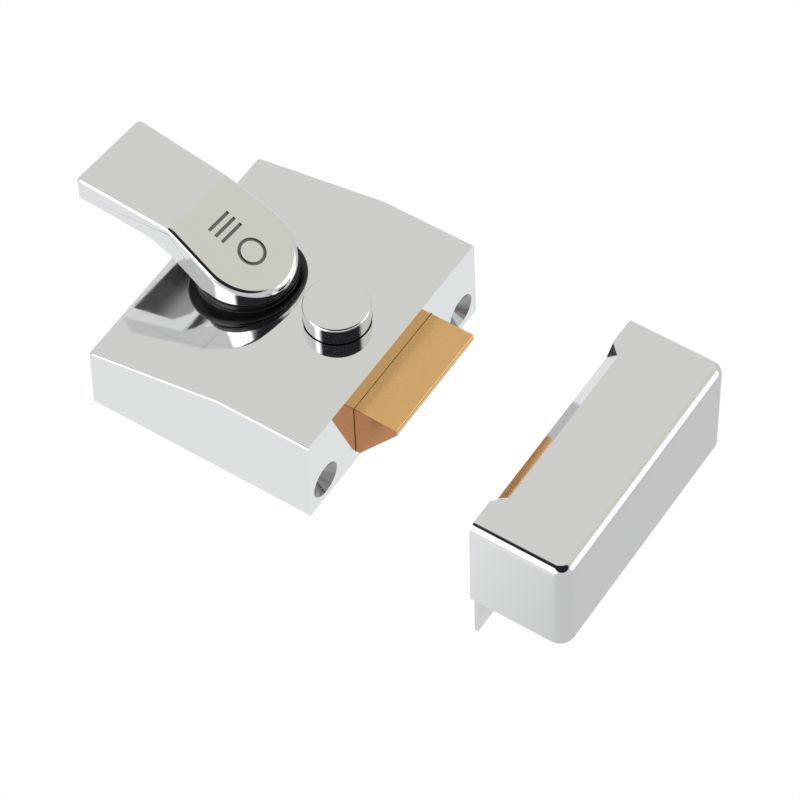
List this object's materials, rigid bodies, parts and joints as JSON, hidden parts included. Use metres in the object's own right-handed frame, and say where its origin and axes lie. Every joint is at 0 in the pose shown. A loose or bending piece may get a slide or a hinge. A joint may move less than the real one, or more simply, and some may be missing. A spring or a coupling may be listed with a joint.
{
  "type": "rim night latch",
  "caption": "Surface-mounted door night latch with inside lever, snib button and bevelled spring bolt, and its box keep set apart from it.",
  "frame": {"origin": "where the lever and cylinder axis meets the door face, at the middle of the cylinder hole in the mounting plate", "axes": "+X is the way the bolt is thrown, from the lever towards the keep; +Y runs along the length of the case; +Z points out of the door into the room"},
  "size_m": [0.2242, 0.105, 0.081],
  "materials": {
    "chrome": "bright polished chromium plate on cast zinc",
    "bolt_brass": "warm satin brass",
    "black_nylon": "black moulded nylon, satin",
    "zinc_steel": "bright zinc-plated pressed steel",
    "bright_steel": "satin chromium-plated steel angle",
    "cast_zinc": "as-cast zinc alloy",
    "screw_steel": "turned steel, zinc-plated",
    "spring_steel": "drawn spring wire"
  },
  "bodies": {
    "case": {"case_shell": "chrome", "back_plate": "zinc_steel", "back_plate_screws": "screw_steel", "mounting_plate": "zinc_steel", "lever_collar": "black_nylon", "collar_retainer": "zinc_steel", "lever_spring": "spring_steel", "bolt_springs": "spring_steel", "spring_guides": "screw_steel", "button_guide": "zinc_steel", "button_guide_screws": "screw_steel", "button_spring": "spring_steel"},
    "lever": {"lever_handle": "chrome", "lever_washer": "black_nylon", "lever_clip": "spring_steel", "follower": "cast_zinc", "follower_peg": "screw_steel"},
    "bolt": {"latch_bolt": "bolt_brass", "bolt_tail": "zinc_steel", "bolt_rivets": "bolt_brass"},
    "button": {"button_cap": "chrome", "button_pin": "screw_steel"},
    "keep": {"keep_box": "chrome", "keep_plate": "bright_steel", "keep_plate_screws": "screw_steel"}
  },
  "joints": [
    {"name": "lever_turn", "type": "hinge", "parent": "case", "child": "lever", "pos_m": [0, 0, 0], "axis": [0, 0, 1], "range_deg": [0, 50], "stiffness_Nm_per_rad": 0.3, "springref_deg": -28.65, "deforming": ["lever_spring"]},
    {"name": "bolt_slide", "type": "slide", "parent": "case", "child": "bolt", "axis": [1, 0, 0], "range_m": [-0.0176, 0], "stiffness_N_per_m": 300, "springref_m": 0.012, "deforming": ["bolt_springs"]},
    {"name": "button_push", "type": "slide", "parent": "case", "child": "button", "axis": [0, 0, -1], "range_m": [0, 0.003], "stiffness_N_per_m": 500, "springref_m": -0.003, "deforming": ["button_spring"]},
    {"name": "keep_slide", "type": "slide", "parent": "case", "child": "keep", "axis": [-1, 0, 0], "range_m": [0, 0.062]}
  ],
  "couplings": [
    {"joint": "bolt_slide", "follows": "lever_turn", "m_per_rad": -0.020053}
  ]
}
